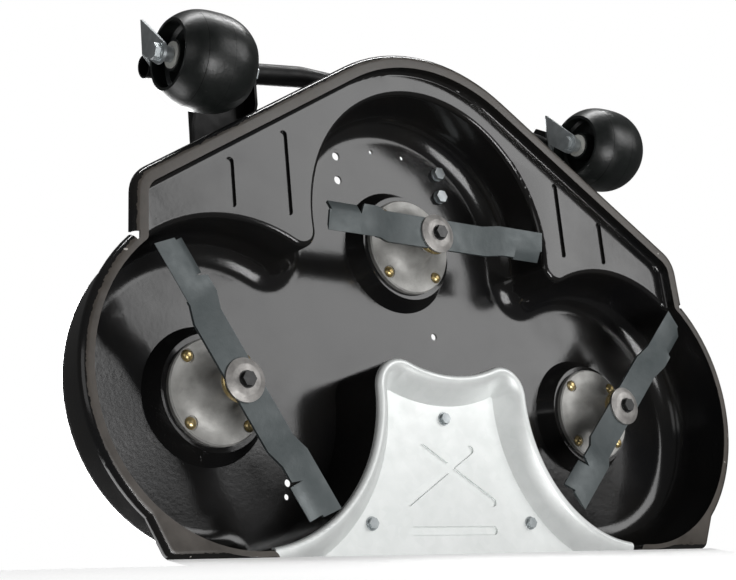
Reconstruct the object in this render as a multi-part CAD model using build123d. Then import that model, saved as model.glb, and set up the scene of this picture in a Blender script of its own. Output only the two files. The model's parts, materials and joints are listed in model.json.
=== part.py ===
# Three-blade rear-discharge lawn mower deck with a mulching plug, in millimetres.
# X runs across the machine, Y to the rear and Z up, with the ground at Z = 0.
# Left and right are the operator's, facing forward, so left is +X.
from build123d import *
import os
from math import acos, asin, atan2, cos, degrees, hypot, pi, radians, sin, sqrt, tan

# Layout of the spindles and of the whole deck
SPINDLE_HALF_SPAN = 331.0
SPINDLE_PITCH = 401.586
REAR_REACH = 212.7
RIM_Z = 45.0
SHEET = 3.0

# Pressed shell: chamber, shelf and rim
CHAMBER_R = 205.4
FLOOR_Z = 154.0
FLOOR_BEND_R = 40.0
NOSE_R = 25.0
DISCHARGE_HALF = 309.0
DISCHARGE_BEND_R = 10.0
SHELF_Z = 62.4
SHELF_BEND_R = 6.0
SHELF_INSET = 11.0
LIP_BEND_R = 8.0
APEX_R = 252.0
APEX_SHIFT = 12.0
FRONT_ANGLE = radians(31.8)
SHOULDER_R = 35.0
SIDE_FLARE = radians(3.0)
NOTCH_X = 472.5
NOTCH_Y = -158.0
SHELF_BACK_Y = -100.0
LOBE_RIM_R = 212.0
CORNER_LINE_R = 206.5
REAR_CORNER_X = 454.5
REAR_CORNER_R = 14.0
RIM_BEND_R = 10.0
RIM_LIP_HEIGHT = 11.0
FRONT_ROLL_END_Y = -166.5
LOBE_ROLL_START = radians(-47.0)
LOBE_ROLL_END = radians(48.5)
BOSS_R = 76.0
BOSS_FOOT_R = 90.0
BOSS_Z = 130.0
BEAD_WIDTH = 11.0
BEAD_DEPTH = 4.0
INNER_BEAD = (246.0, -333.0, -227.0)
OUTER_BEAD = (331.0, -282.0, -226.0)
OVERRUN = 40.0

# Holes in the chamber floor
BRACKET_HOLE_X = 93.0
BRACKET_HOLE_LEADS = (133.6, 97.6)
BRACKET_SEAT_R = 10.5
BRACKET_HOLE_R = 6.25
BRACKET_SEAT_DEPTH = 4.0
BRACKET_FIT = 0.25
FRONT_PIN_X = 28.8
FRONT_PIN_LEAD = 150.6
FRONT_PIN_R = 3.25
PLAIN_HOLES = ((55.4, -107.4, 5.0), (-215.9, 106.8, 5.0), (-219.0, 124.7, 4.0))

# Spindle stack, heights from the ground
BOLT_HEAD_Z = 49.0
WASHER_Z = 56.0
BLADE_Z = 62.0
BLADE_THICK = 4.0
NECK_Z = 78.0
TRUMPET_Z = 84.0
TRUMPET_R = 38.0
NECK_R = 23.0
NECK_BORE_R = 14.0
HOUSING_FLANGE_R = 69.0
HOUSING_FLANGE_Z = 122.0
HOUSING_BODY_R = 36.0
HOUSING_TOP_Z = 176.0
HOUSING_BOLT_OFFSET = 42.0
HOUSING_BOLT_R = 4.0
HOUSING_FIT = 0.5
HOUSING_CHAMFER = 3.0
HOUSING_EDGE = 2.0
HOUSING_SPOT_R = 9.6
HOUSING_BOLT_TAIL = 11.0
HOUSING_NUT_HEIGHT = 8.0
DOME_RISE = 5.0
DOME_SHOULDER = (0.72, 0.68)
BEARING_R = 20.0
BEARING_WIDTH = 12.0
BEARING_PLAY = 0.5
RACE_WIDTH = 3.0
LOWER_BEARING_Z = 98.0
UPPER_BEARING_Z = 162.0
SHAFT_R = 8.5
SHAFT_FOOT_R = 12.5
COLLAR_R = 27.0
COLLAR_STEP_R = 24.0
COLLAR_HEIGHT = 6.0
COLLAR_GAP = 0.8
WASHER_R = 27.6
WASHER_CONE_WIDTH = 9.0
WASHER_CONE_RISE = 3.5
BLADE_BOLT_R = 5.0
BLADE_FLANGE_R = 11.0
BLADE_BOLT_GRIP = 22.0
BLADE_TAP_DEPTH = 25.0
RUN_FIT = 0.05
HOLE_FIT = 0.4
FLANGE_THICK = 1.5
HEX_M8 = 13.0
HEX_M10 = 17.0
HEX_M12 = 19.0

# Blades
BLADE_TIP_R = 196.0
BLADE_HEEL_R = 186.0
BLADE_WIDTH = 44.0
BLADE_DROP = 11.5
TIP_TRIM = 5.0
BLADE_FOLD_IN = 88.0
BLADE_FOLD_OUT = 110.0
WING_START = 138.0
WING_DEPTH = 15.0
WING_RISE = 9.0
WING_RAMP = 6.0
WING_LEAN = 1.5
EDGE_START = 116.0
EDGE_WIDTH = 11.0
EDGE_LAND = 0.6
BLADE_TURN = {"left": -45.6, "right": -121.4, "centre": 0.0}

# Belt drive on top of the deck
PULLEY_R = 75.0
PULLEY_Z = 196.0
PULLEY_HALF = 11.0
PULLEY_WEB = 6.0
PULLEY_RIM = 5.0
GROOVE_BOTTOM_R = 60.0
GROOVE_HALF = 7.8
GROOVE_BOTTOM_HALF = 3.6
PULLEY_HUB_R = 19.0
PULLEY_HUB_Z = 177.5
DRIVE_GROOVE_PITCH = 22.0
PULLEY_NUT_HEX = 26.0
PULLEY_NUT_FLANGE = 2.0
PULLEY_NUT_FLANGE_R = 17.0
PULLEY_NUT_HEIGHT = 13.0
SHAFT_TAIL = 15.0
BELT_R = 68.0
BELT_HALF_DEPTH = 4.0
BELT_BACK_HALF = 6.0
BELT_INNER_HALF = 3.8
BELT_GAP = 0.4
IDLER_R = 35.0
IDLER_HALF = 9.0
IDLER_LIP = 4.0
IDLER_LIP_THICK = 3.0
IDLER_RIM = 4.0
IDLER_WEB_RISE = 5.0
IDLER_X = 70.0
IDLER_Y = 82.0
IDLER_BEARING_R = 15.0
IDLER_BOLT_R = 5.0
IDLER_CLEAR = 1.0
IDLER_HEX = 16.0
IDLER_FLANGE_R = 9.0
IDLER_FLANGE = 2.0
IDLER_HEAD = 9.0
IDLER_BOLT_TAIL = 10.0
IDLER_NUT_HEIGHT = 8.0
IDLER_BRACKET_Z = 178.0
IDLER_BRACKET_THICK = 5.0
IDLER_BRACKET_LENGTH = 84.0
IDLER_BRACKET_WIDTH = 46.0
IDLER_SLOT = 50.0

# Mulching plug
PLUG_SHEET = 2.0
PLUG_R = 201.0
PLUG_HUMP_R = 40.0
PLUG_CREST_Z = 57.0
PLUG_WALL_Z = 66.0
PLUG_FACE_Z = 88.4
PLUG_ROLL_R = 6.0
PLUG_LIP_INSET = 7.5
PLUG_FLARE_INSET = 13.5
PLUG_FLARE_RISE = 2.4
PLUG_SLOPE_INSET = 37.0
PLUG_FIT = 1.5
PLUG_OVERLAP = 2.0
PLUG_DRAW = 0.6
PLUG_SIDE_SCREW = (193.3, 168.2)
PLUG_FRONT_SCREW = 255.3
PLUG_SCREW_R = 4.0
PLUG_SPACER_R = 9.0
PLUG_HEAD = 6.5
PLUG_SCREW_TAIL = 10.0
PLUG_NUT_HEIGHT = 7.0
PLUG_BEAD_DEPTH = 3.0
PLUG_BEAD_WIDTH = 12.0
PLUG_BEADS = ((-70.0, 178.0, 70.0, 178.0), (-41.7, 69.0, 73.5, 140.0), (41.7, 69.0, -73.5, 140.0))

# Front tube, arms and anti-scalp wheels
TUBE_R = 15.0
TUBE_WALL = 2.5
TUBE_Z = 149.5
TUBE_END = (398.0, -434.0)
TUBE_BEND = (150.0, -470.0)
TUBE_BEND_R = 90.0
ARM_INNER_X = 231.0
ARM_WIDTH = 95.0
ARM_SHEET = 4.0
ARM_BEND_R = 6.0
ARM_TOE = 12.0
ARM_RAMP = 40.0
ARM_NOSE = 8.0
ARM_REAR_Y = -102.0
ARM_FRONT_Y = -478.0
ARM_SADDLE_Y = -408.0
ARM_SADDLE_Z = 138.0
ARM_WEB_Z = 165.0
WHEEL_X = 358.4
WHEEL_Y = -412.6
WHEEL_R = 64.5
WHEEL_END_R = 46.25
WHEEL_WIDTH = 104.5
WHEEL_POWER = 2.8
WHEEL_LIP = 4.0
WHEEL_RECESS = 24.0
WHEEL_HUB_R = 20.0
WHEEL_HUB_INSET = 6.0
WHEEL_DRAFT = 2.0
WHEEL_WEB_BEND = 4.0
WHEEL_BEARING_R = 14.0
WHEEL_BEARING_LIP_R = 17.0
BUSH_LENGTH = 16.0
BUSH_LIP = 2.0
AXLE_R = 6.0
AXLE_HEAD = 9.0
AXLE_FLANGE_R = 12.0
AXLE_TAIL = 12.0
AXLE_NUT_HEIGHT = 10.0
SPACER_WALL = 4.0
FORK_INNER = 62.0
FORK_SHEET = 4.0
FORK_FOLD_Z = 104.0
FORK_LEAN = 26.5
FORK_FRONT_Y = -475.0
FORK_REAR_Y = -426.0
FORK_EYE_R = 15.0

# Hangers on top of the deck
HANGER_HOLE_R = 6.25
HANGER_SHEET = 5.0
REAR_HANGER = (200.0, 150.0)
REAR_HANGER_LENGTH = 70.0
REAR_HANGER_HEIGHT = 44.0
REAR_EYE_R = 16.0
CLEVIS_HEIGHT = 40.0
CLEVIS_WIDTH = 34.0
CLEVIS_EAR_R = 14.0
CLEVIS_END = 20.0
HANGER_HEAD = 9.0
HANGER_TAIL = 14.0
HANGER_NUT_HEX = 18.0
HANGER_NUT_HEIGHT = 10.0

# Sizes that follow from the ones above
FLOOR_TOP = FLOOR_Z + SHEET
SPINDLE_LEAD = sqrt(SPINDLE_PITCH**2 - SPINDLE_HALF_SPAN**2)
BRACKET_HOLE_YS = tuple(-SPINDLE_LEAD - lead for lead in BRACKET_HOLE_LEADS)
APEX_Y = APEX_SHIFT - SPINDLE_LEAD
FRONT_REACH = APEX_R + RIM_BEND_R + APEX_SHIFT * cos(FRONT_ANGLE) - APEX_Y
ROW_Y = (FRONT_REACH - REAR_REACH) / 2
SPINDLES = {
    "left": (SPINDLE_HALF_SPAN, 0.0),
    "right": (-SPINDLE_HALF_SPAN, 0.0),
    "centre": (0.0, -SPINDLE_LEAD),
}
SIDES = {"left": 1, "right": -1}
PLUG_SCREWS = (
    (PLUG_SIDE_SCREW[0] - SPINDLE_HALF_SPAN, PLUG_SIDE_SCREW[1]),
    (SPINDLE_HALF_SPAN - PLUG_SIDE_SCREW[0], PLUG_SIDE_SCREW[1]),
    (0.0, PLUG_FRONT_SCREW - SPINDLE_LEAD),
)


def save(node, shape):
    """Write one named sub-part in the shared frame."""
    if isinstance(shape, list):
        shape = Compound(shape)
    export_step(Pos(0, ROW_Y, 0) * shape, f"parts/{node}.step")


def slab(sketch, low, high):
    """A plan sketch raised between two heights."""
    return Pos(0, 0, low) * extrude(sketch, high - low, dir=(0, 0, 1))


def disc(x, y, radius, low, high):
    """An upright cylinder."""
    return Pos(x, y, low) * Cylinder(radius, high - low, align=(Align.CENTER, Align.CENTER, Align.MIN))


def ring(outer, inner, low, high):
    """An upright tube round the Z axis."""
    return disc(0, 0, outer, low, high) - disc(0, 0, inner, low - 1, high + 1)


def turned(*points):
    """A solid turned round the Z axis from (radius, height) points."""
    return revolve(Plane.XZ * make_face(Polyline(*points, close=True)), Axis.Z)


def hex_prism(across, low, high):
    """An upright hexagon of a given width across its flats."""
    return slab(RegularPolygon(across / sqrt(3), 6), low, high)


def nut(across, bore, low, high):
    """A plain hexagon nut."""
    return hex_prism(across, low, high) - disc(0, 0, bore, low - 1, high + 1)


def flanged_head(across, flange_r, end, seat):
    """A hexagon head with a washer flange, from its lower end up to its seat."""
    step = seat - FLANGE_THICK
    return hex_prism(across, end, step) + disc(0, 0, flange_r, step, seat)


def near(shape, x, y):
    """The corner of a plan sketch nearest a point."""
    return shape.vertices().sort_by_distance(Vector(x, y, 0))[0]


def chamber_plan(grow):
    """Plan of the cutting chamber: three lobes opening into the rear discharge."""
    radius = CHAMBER_R + grow
    half = DISCHARGE_HALF + grow
    plan = Sketch()
    for x, y in SPINDLES.values():
        plan += Pos(x, y) * Circle(radius)
    plan += Polygon(*SPINDLES.values(), align=None)
    length = REAR_REACH + OVERRUN
    plan += Pos(0, length / 2) * Rectangle(2 * half, length)
    reach = sqrt(radius**2 - SPINDLE_PITCH**2 / 4)
    nose_x = SPINDLE_HALF_SPAN / 2 + reach * SPINDLE_LEAD / SPINDLE_PITCH
    nose_y = -SPINDLE_LEAD / 2 - reach * SPINDLE_HALF_SPAN / SPINDLE_PITCH
    corner_y = sqrt(radius**2 - (SPINDLE_HALF_SPAN - half) ** 2)
    for side in SIDES.values():
        plan = fillet(near(plan, side * nose_x, nose_y), NOSE_R - grow)
        plan = fillet(near(plan, side * half, corner_y), DISCHARGE_BEND_R - grow)
    return plan


def chamber(grow, low):
    """The chamber as a solid with its rounded floor edge."""
    body = slab(chamber_plan(grow), low, FLOOR_Z + grow)
    rear = REAR_REACH + OVERRUN - 1
    edges = [e for e in body.faces().sort_by(Axis.Z)[-1].edges() if e.center().Y < rear]
    return fillet(edges, FLOOR_BEND_R + grow)


def front_plan(inset):
    """Plan of the front of the deck, drawn in from the rim by an inset."""
    radius = APEX_R - inset + APEX_SHIFT * cos(FRONT_ANGLE)
    tangent = (radius * sin(FRONT_ANGLE), APEX_Y - radius * cos(FRONT_ANGLE))
    side_x = NOTCH_X - inset * cos(SIDE_FLARE)
    side_y = NOTCH_Y + inset * sin(SIDE_FLARE)
    across = (side_x - tangent[0]) * cos(SIDE_FLARE) - (side_y - tangent[1]) * sin(SIDE_FLARE)
    run = across / cos(FRONT_ANGLE + SIDE_FLARE)
    corner = (tangent[0] + run * cos(FRONT_ANGLE), tangent[1] + run * sin(FRONT_ANGLE))
    back = (side_x + (SHELF_BACK_Y - side_y) * tan(SIDE_FLARE), SHELF_BACK_Y)
    left = [tangent, corner, back]
    right = [(-x, y) for x, y in left]
    plan = Sketch() + make_face(
        [
            ThreePointArc(right[0], (0, APEX_Y - radius), left[0]),
            Polyline(*left, *reversed(right)),
        ]
    )
    for side in SIDES.values():
        plan = fillet(near(plan, side * corner[0], corner[1]), SHOULDER_R - inset)
    return plan


def shelf(grow, low):
    """The front shelf as a solid with its rounded edge."""
    body = slab(front_plan(SHELF_INSET - grow), low, SHELF_Z + grow)
    edges = [e for e in body.faces().sort_by(Axis.Z)[-1].edges() if e.center().Y < SHELF_BACK_Y - 1]
    return fillet(edges, SHELF_BEND_R + grow)


def pressing(grow, low):
    """Chamber and shelf as one solid, the lip between them rounded."""
    body = chamber(grow, low) + shelf(grow, low)
    level = SHELF_Z + grow
    lips = []
    for edge in body.edges().filter_by(GeomType.CIRCLE):
        box = edge.bounding_box()
        flat = abs(box.min.Z - level) < 0.01 and abs(box.max.Z - level) < 0.01
        if flat and min(abs(edge.radius - CHAMBER_R - grow), abs(edge.radius - NOSE_R + grow)) < 0.1:
            lips.append(edge)
    return fillet(lips, LIP_BEND_R - grow)


def mirror_x(points, side):
    """Points of the left side put on either side."""
    return [(side * x, y) for x, y in points]


def corner_plan(side):
    """Plan of one rear corner plate, its side line passing close to the outer lobe."""
    dx = REAR_CORNER_X - SPINDLE_HALF_SPAN
    turn = atan2(REAR_REACH, dx) - acos(CORNER_LINE_R / hypot(dx, REAR_REACH))
    touch = (SPINDLE_HALF_SPAN + CORNER_LINE_R * cos(turn), CORNER_LINE_R * sin(turn))
    corner = (REAR_CORNER_X, REAR_REACH)
    outline = [touch, corner, (DISCHARGE_HALF, REAR_REACH), (DISCHARGE_HALF, touch[1])]
    plan = Sketch() + Polygon(*mirror_x(outline, side), align=None)
    return fillet(near(plan, side * corner[0], corner[1]), REAR_CORNER_R)


def rolled(plan, inset, outside):
    """A plate solid whose outside lower edges are rolled up."""
    body = slab(plan, RIM_Z + inset, RIM_Z + inset + RIM_LIP_HEIGHT)
    edges = [e for e in body.faces().sort_by(Axis.Z)[0].edges() if outside(e.center())]
    return fillet(edges, RIM_BEND_R - inset)


def rim_edges(inset):
    """Rolled edges of the front, of the two outer lobes and of the two rear corner plates."""
    edges = rolled(front_plan(inset - RIM_BEND_R), inset, lambda c: c.Y < SHELF_BACK_Y - 1)
    behind = Pos(0, FRONT_ROLL_END_Y + OVERRUN * 2, RIM_Z) * Box(4 * NOTCH_X, OVERRUN * 4, RIM_Z)
    edges -= behind
    far = 2 * LOBE_RIM_R
    for side in SIDES.values():
        lobe = Pos(side * SPINDLE_HALF_SPAN, 0) * Circle(LOBE_RIM_R + RIM_BEND_R - inset)
        fan = [(SPINDLE_HALF_SPAN, 0)]
        for angle in (LOBE_ROLL_START, 0, LOBE_ROLL_END):
            fan.append((SPINDLE_HALF_SPAN + far * cos(angle), far * sin(angle)))
        sector = slab(Polygon(*mirror_x(fan, side), align=None), 0, FLOOR_Z)
        edges += rolled(lobe, inset, lambda c: True) & sector
        plan = corner_plan(side)
        if inset:
            plan = offset(plan, -inset, kind=Kind.INTERSECTION)
        inner_x = DISCHARGE_HALF + inset + 1
        edges += rolled(plan, inset, lambda c: abs(c.X) > inner_x and c.Y > REAR_REACH / 2)
    return edges


def rim_plan():
    """Plan of the flat rim flange."""
    plan = front_plan(0)
    for side in SIDES.values():
        plan += Pos(side * SPINDLE_HALF_SPAN, 0) * Circle(LOBE_RIM_R)
    return plan


def bead(x, start, end, width, low, high):
    """A slot-shaped rib along Y."""
    length = end - start + width
    return slab(Pos(x, (start + end) / 2) * SlotOverall(length, width, rotation=90), low, high)


def behind_deck():
    """The space behind the open rear of the deck."""
    return Pos(0, REAR_REACH + OVERRUN, FLOOR_Z / 2) * Box(4 * DISCHARGE_HALF, 2 * OVERRUN, 2 * FLOOR_Z)


def deck_shell():
    """The pressed deck: rim, shelf, chamber, bosses, beads and holes."""
    shell = slab(rim_plan(), RIM_Z, RIM_Z + SHEET) + pressing(SHEET, RIM_Z)
    shell += rim_edges(0) - rim_edges(SHEET)
    for side in SIDES.values():
        for x, start, end in (INNER_BEAD, OUTER_BEAD):
            rib = bead(side * x, start, end, BEAD_WIDTH + 2 * SHEET, SHELF_Z, SHELF_Z + BEAD_DEPTH + SHEET)
            shell += rib
    shell -= pressing(0, RIM_Z - OVERRUN)
    shell -= behind_deck()
    for side in SIDES.values():
        for x, start, end in (INNER_BEAD, OUTER_BEAD):
            shell -= bead(side * x, start, end, BEAD_WIDTH, RIM_Z, SHELF_Z + BEAD_DEPTH)
    drop = FLOOR_Z - BOSS_Z
    boss = turned(
        (0, BOSS_Z),
        (BOSS_R, BOSS_Z),
        (BOSS_FOOT_R, FLOOR_Z),
        (BOSS_FOOT_R, FLOOR_Z + 1),
        (0, FLOOR_Z + 1),
    )
    slope = hypot(drop, BOSS_FOOT_R - BOSS_R)
    inward = SHEET * (slope - (BOSS_FOOT_R - BOSS_R)) / drop
    lift = (BOSS_FOOT_R - BOSS_R) / drop
    dent_r = BOSS_R - inward
    top_r = dent_r + lift * (drop + 1)
    dent = turned((0, BOSS_Z + SHEET), (dent_r, BOSS_Z + SHEET), (top_r, FLOOR_TOP + 1), (0, FLOOR_TOP + 1))
    for x, y in SPINDLES.values():
        shell += Pos(x, y, 0) * boss
        shell -= Pos(x, y, 0) * dent
        shell -= disc(x, y, HOUSING_BODY_R + HOUSING_FIT, 0, FLOOR_TOP + 1)
        for dx, dy in housing_bolt_points():
            shell -= disc(x + dx, y + dy, HOUSING_BOLT_R + HOLE_FIT, BOSS_Z - 1, BOSS_Z + SHEET + 1)
    shell -= floor_holes()
    return shell


def floor_holes():
    """All plain holes through the chamber floor."""
    holes = Part()
    for side in SIDES.values():
        for y in BRACKET_HOLE_YS:
            holes += disc(side * BRACKET_HOLE_X, y, BRACKET_HOLE_R, FLOOR_Z - 1, FLOOR_TOP + 1)
            holes += disc(side * BRACKET_HOLE_X, y, BRACKET_SEAT_R, FLOOR_Z - BRACKET_SEAT_DEPTH, FLOOR_Z)
        pin_y = -SPINDLE_LEAD - FRONT_PIN_LEAD
        holes += disc(side * FRONT_PIN_X, pin_y, FRONT_PIN_R, FLOOR_Z - 1, FLOOR_TOP + 1)
    for x, y, radius in PLAIN_HOLES:
        holes += disc(x, y, radius, FLOOR_Z - 1, FLOOR_TOP + 1)
    for x, y in PLUG_SCREWS:
        holes += disc(x, y, PLUG_SCREW_R + HOLE_FIT, FLOOR_Z - 1, FLOOR_TOP + 1)
    return holes


def housing_bolt_points():
    """The four bolts of one spindle housing, from its axis."""
    step = HOUSING_BOLT_OFFSET
    return [(sx * step, sy * step) for sx in (-1, 1) for sy in (-1, 1)]


def at_spindle(name, shape):
    """Move a stack part from the Z axis to its spindle."""
    x, y = SPINDLES[name]
    return Pos(x, y, 0) * shape


def spindle_housing():
    """Cast housing: neck, trumpet, square-bolted flange and upper body, bored for two bearings."""
    bend_x = NECK_R + TRUMPET_R
    outline = make_face(
        [
            Polyline(
                (NECK_BORE_R, NECK_Z),
                (NECK_R - HOUSING_EDGE, NECK_Z),
                (NECK_R, NECK_Z + HOUSING_EDGE),
                (NECK_R, TRUMPET_Z),
            ),
            ThreePointArc(
                (NECK_R, TRUMPET_Z),
                (bend_x - TRUMPET_R * cos(pi / 4), TRUMPET_Z + TRUMPET_R * sin(pi / 4)),
                (bend_x, HOUSING_FLANGE_Z),
            ),
            Polyline(
                (bend_x, HOUSING_FLANGE_Z),
                (HOUSING_FLANGE_R - HOUSING_EDGE, HOUSING_FLANGE_Z),
                (HOUSING_FLANGE_R, HOUSING_FLANGE_Z + HOUSING_EDGE),
                (HOUSING_FLANGE_R, BOSS_Z),
                (HOUSING_BODY_R, BOSS_Z),
                (HOUSING_BODY_R, HOUSING_TOP_Z - HOUSING_CHAMFER),
                (HOUSING_BODY_R - HOUSING_CHAMFER, HOUSING_TOP_Z),
                (NECK_BORE_R, HOUSING_TOP_Z),
                (NECK_BORE_R, NECK_Z),
            ),
        ]
    )
    body = revolve(Plane.XZ * outline, Axis.Z)
    body -= disc(0, 0, BEARING_R, LOWER_BEARING_Z, LOWER_BEARING_Z + BEARING_WIDTH)
    body -= disc(0, 0, BEARING_R, UPPER_BEARING_Z, HOUSING_TOP_Z + 1)
    for x, y in housing_bolt_points():
        body -= disc(x, y, HOUSING_BOLT_R + HOLE_FIT, NECK_Z, BOSS_Z + 1)
        body -= disc(x, y, HOUSING_SPOT_R, TRUMPET_Z, HOUSING_FLANGE_Z + 1)
    return body


def spindle_bearings():
    """The two ball bearings of a spindle, drawn as closed rings."""
    rings = []
    for low in (LOWER_BEARING_Z, UPPER_BEARING_Z):
        high = low + BEARING_WIDTH
        body = ring(BEARING_R, SHAFT_R + RUN_FIT, low, high)
        groove = ring(BEARING_R - RACE_WIDTH, SHAFT_R + RACE_WIDTH, high - 1, high + 1)
        rings.append(body - groove)
    return rings


def spindle_shaft(top):
    """Shaft: thick foot under the lower bearing, plain journal, tapped from below."""
    shaft = turned(
        (0, BLADE_Z + BLADE_THICK),
        (SHAFT_FOOT_R, BLADE_Z + BLADE_THICK),
        (SHAFT_FOOT_R, LOWER_BEARING_Z - BEARING_PLAY),
        (SHAFT_R, LOWER_BEARING_Z - BEARING_PLAY),
        (SHAFT_R, top - 1),
        (SHAFT_R - 1, top),
        (0, top),
    )
    return shaft - disc(0, 0, BLADE_BOLT_R, 0, BLADE_Z + BLADE_THICK + BLADE_TAP_DEPTH)


def dust_collar():
    """Stepped collar that turns with the shaft under the housing neck."""
    low = BLADE_Z + BLADE_THICK
    top = NECK_Z - COLLAR_GAP
    return turned(
        (SHAFT_FOOT_R, low),
        (COLLAR_R - 1, low),
        (COLLAR_R, low + 1),
        (COLLAR_R, low + COLLAR_HEIGHT - 1),
        (COLLAR_R - 1, low + COLLAR_HEIGHT),
        (COLLAR_STEP_R, low + COLLAR_HEIGHT),
        (COLLAR_STEP_R, top - 1),
        (COLLAR_STEP_R - 1, top),
        (SHAFT_FOOT_R, top),
    )


def blade():
    """Offset blade along X: dropped ends, skewed tips, cutting bevels and lift wings."""
    low = BLADE_Z - BLADE_DROP
    high = BLADE_Z
    side = [
        (0, high),
        (BLADE_FOLD_IN, high),
        (BLADE_FOLD_OUT, low),
        (BLADE_TIP_R + TIP_TRIM, low),
        (BLADE_TIP_R + TIP_TRIM, low + BLADE_THICK),
        (BLADE_FOLD_OUT + 1, low + BLADE_THICK),
        (BLADE_FOLD_IN + 1, high + BLADE_THICK),
        (0, high + BLADE_THICK),
    ]
    half = BLADE_WIDTH / 2
    bar = extrude(Plane.XZ * make_face(Polyline(*side, close=True)), half, both=True)
    wing_y = half - WING_DEPTH
    plan = Polygon(
        (-1, -half),
        (BLADE_TIP_R * cos(asin(half / BLADE_TIP_R)), -half),
        (BLADE_HEEL_R + (BLADE_TIP_R - BLADE_HEEL_R) * WING_DEPTH / BLADE_WIDTH, wing_y),
        (WING_START, wing_y),
        (WING_START - WING_RAMP, half),
        (-1, half),
        align=None,
    )
    bar = bar & slab(plan, 0, 2 * BLADE_Z)
    over = low + BLADE_THICK + 1
    bevel = [(-half - 1, low + EDGE_LAND), (-half - 1, over), (-half + EDGE_WIDTH, over)]
    wedge = extrude(Plane.YZ * make_face(Polyline(*bevel, close=True)), BLADE_TIP_R)
    bar -= Pos(EDGE_START, 0, 0) * wedge
    lift = [
        (wing_y - 1, low),
        (wing_y, low),
        (half, low + WING_RISE),
        (half - WING_LEAN, low + WING_RISE + BLADE_THICK),
        (wing_y - 1, low + BLADE_THICK),
    ]
    wing = extrude(Plane.YZ * make_face(Polyline(*lift, close=True)), BLADE_HEEL_R - WING_START)
    bar += Pos(WING_START, 0, 0) * wing
    whole = bar + Rot(0, 0, 180) * bar
    return whole - disc(0, 0, BLADE_BOLT_R + HOLE_FIT, 0, 2 * BLADE_Z)


def blade_washer():
    """Thick cap washer under the blade."""
    return turned(
        (BLADE_BOLT_R + HOLE_FIT, WASHER_Z),
        (WASHER_R - WASHER_CONE_WIDTH, WASHER_Z),
        (WASHER_R, WASHER_Z + WASHER_CONE_RISE),
        (WASHER_R, BLADE_Z),
        (BLADE_BOLT_R + HOLE_FIT, BLADE_Z),
    )


def blade_bolt():
    """Hexagon bolt that clamps the blade to the shaft."""
    head = flanged_head(HEX_M10, BLADE_FLANGE_R, BOLT_HEAD_Z, WASHER_Z)
    return head + disc(0, 0, BLADE_BOLT_R, WASHER_Z, BLADE_Z + BLADE_THICK + BLADE_BOLT_GRIP)


def housing_bolts():
    """Dome-headed bolts of all three housings."""
    head_r = 2 * HOUSING_BOLT_R
    seat = HOUSING_FLANGE_Z
    tip = (0, seat - DOME_RISE)
    shoulder = (head_r * DOME_SHOULDER[0], seat - DOME_RISE * DOME_SHOULDER[1])
    crown = ThreePointArc(tip, shoulder, (head_r, seat))
    base = Polyline((head_r, seat), (0, seat), tip)
    dome = revolve(Plane.XZ * make_face([crown, base]), Axis.Z)
    bolt = dome + disc(0, 0, HOUSING_BOLT_R, seat, BOSS_Z + SHEET + HOUSING_BOLT_TAIL)
    return [Pos(x + dx, y + dy, 0) * bolt for x, y in SPINDLES.values() for dx, dy in housing_bolt_points()]


def housing_nuts():
    """Flanged nuts of all three housings, inside the bosses."""
    low = BOSS_Z + SHEET
    piece = nut(HEX_M8, HOUSING_BOLT_R, low, low + HOUSING_NUT_HEIGHT)
    return [Pos(x + dx, y + dy, 0) * piece for x, y in SPINDLES.values() for dx, dy in housing_bolt_points()]


def groove_points(centre):
    """One V groove of a pulley rim, from its lower to its upper lip."""
    return [
        (PULLEY_R, centre - GROOVE_HALF),
        (GROOVE_BOTTOM_R, centre - GROOVE_BOTTOM_HALF),
        (GROOVE_BOTTOM_R, centre + GROOVE_BOTTOM_HALF),
        (PULLEY_R, centre + GROOVE_HALF),
    ]


def pulley(grooves):
    """V pulley with a hub that reaches down to the upper bearing."""
    top = pulley_top(grooves)
    rim_in = GROOVE_BOTTOM_R - PULLEY_RIM
    web = PULLEY_WEB / 2
    low = PULLEY_Z - PULLEY_HALF
    points = [(SHAFT_R, PULLEY_HUB_Z), (PULLEY_HUB_R, PULLEY_HUB_Z), (PULLEY_HUB_R, PULLEY_Z - web)]
    points += [(rim_in, PULLEY_Z - web), (rim_in, low), (PULLEY_R, low)]
    for step in range(grooves):
        points += groove_points(PULLEY_Z + step * DRIVE_GROOVE_PITCH)
    points += [(PULLEY_R, top), (rim_in, top), (rim_in, PULLEY_Z + web)]
    points += [(PULLEY_HUB_R, PULLEY_Z + web), (PULLEY_HUB_R, top), (SHAFT_R, top)]
    return turned(*points)


def pulley_top(grooves):
    """Height of the upper face of a pulley hub."""
    return PULLEY_Z + PULLEY_HALF + (grooves - 1) * DRIVE_GROOVE_PITCH


def pulley_nut(grooves):
    """Flanged nut on top of a pulley."""
    low = pulley_top(grooves)
    step = low + PULLEY_NUT_FLANGE
    flange = disc(0, 0, PULLEY_NUT_FLANGE_R, low, step) - disc(0, 0, SHAFT_R, low - 1, step + 1)
    return nut(PULLEY_NUT_HEX, SHAFT_R, step, low + PULLEY_NUT_HEIGHT) + flange


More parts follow.
